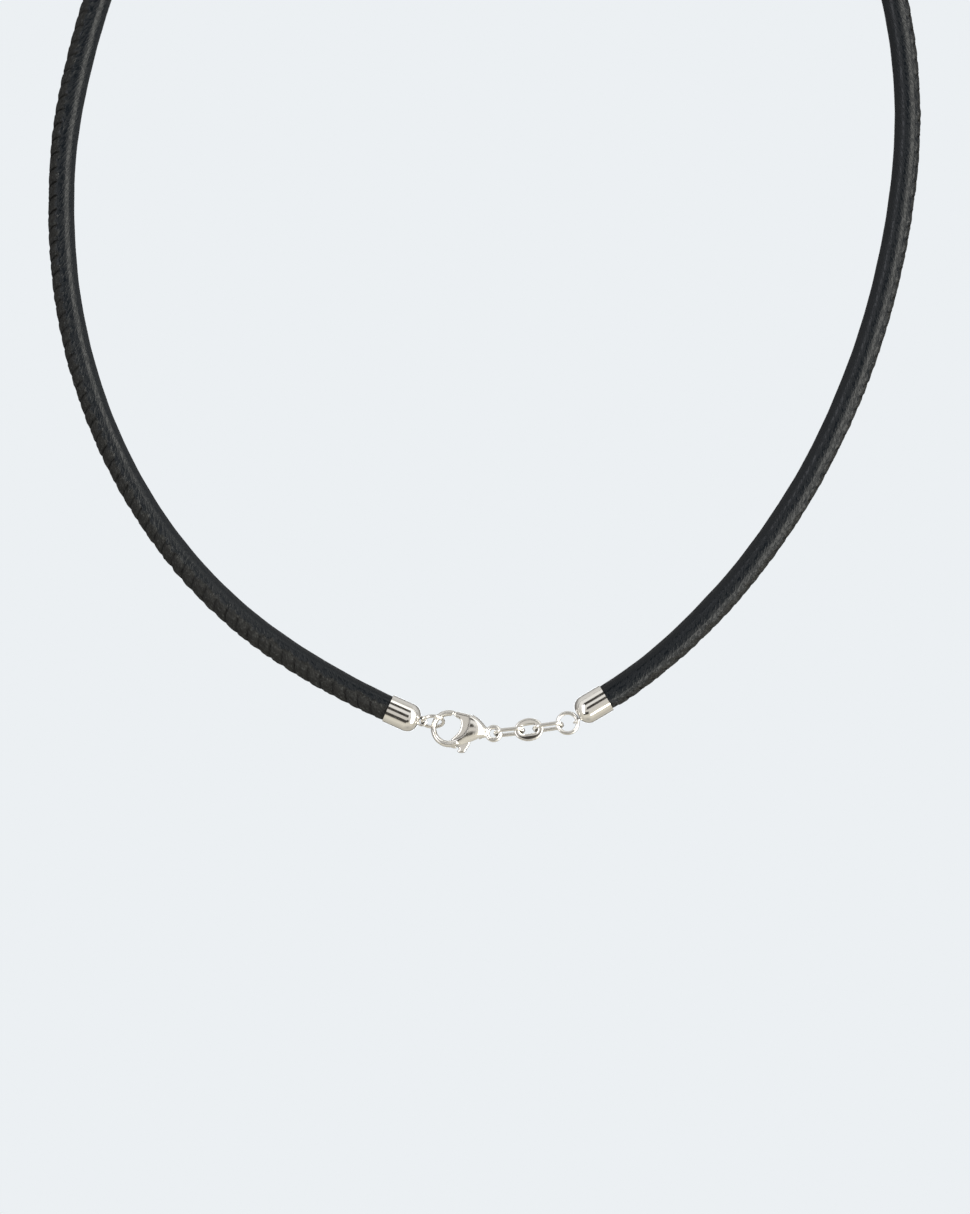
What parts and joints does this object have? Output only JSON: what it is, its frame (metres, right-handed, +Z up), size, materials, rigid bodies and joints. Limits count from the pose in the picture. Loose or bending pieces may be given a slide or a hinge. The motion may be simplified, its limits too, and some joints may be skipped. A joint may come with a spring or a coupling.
{
  "type": "leather cord necklace",
  "caption": "Closed necklace of round stitched leather cord, with domed silver end caps, a short chain and a sprung lobster clasp.",
  "frame": {"origin": "where the loop hangs on a round peg: the inner side of the cord at its crown", "axes": "+Z up, +X to the right as the clasp's lever side faces the viewer, +Y away from the viewer, square to the loop's plane"},
  "size_m": [0.1362, 0.0044, 0.1588],
  "materials": {
    "leather": "smooth black nappa with a soft sheen and a stitched seam",
    "silver": "polished silver"
  },
  "bodies": {
    "necklace": {"leather_cord": "leather", "cap_left": "silver", "cap_right": "silver", "jump_ring_left": "silver", "clasp_body": "silver", "link_1": "silver", "oval_link": "silver", "link_2": "silver", "jump_ring_right": "silver"},
    "lever": {"clasp_lever": "silver"}
  },
  "joints": [
    {"name": "lever_pivot", "type": "hinge", "parent": "necklace", "child": "lever", "pos_m": [-0.0039, 0, -0.15058], "axis": [0, -1, 0], "range_deg": [0, 32], "stiffness_Nm_per_rad": 0.003}
  ]
}
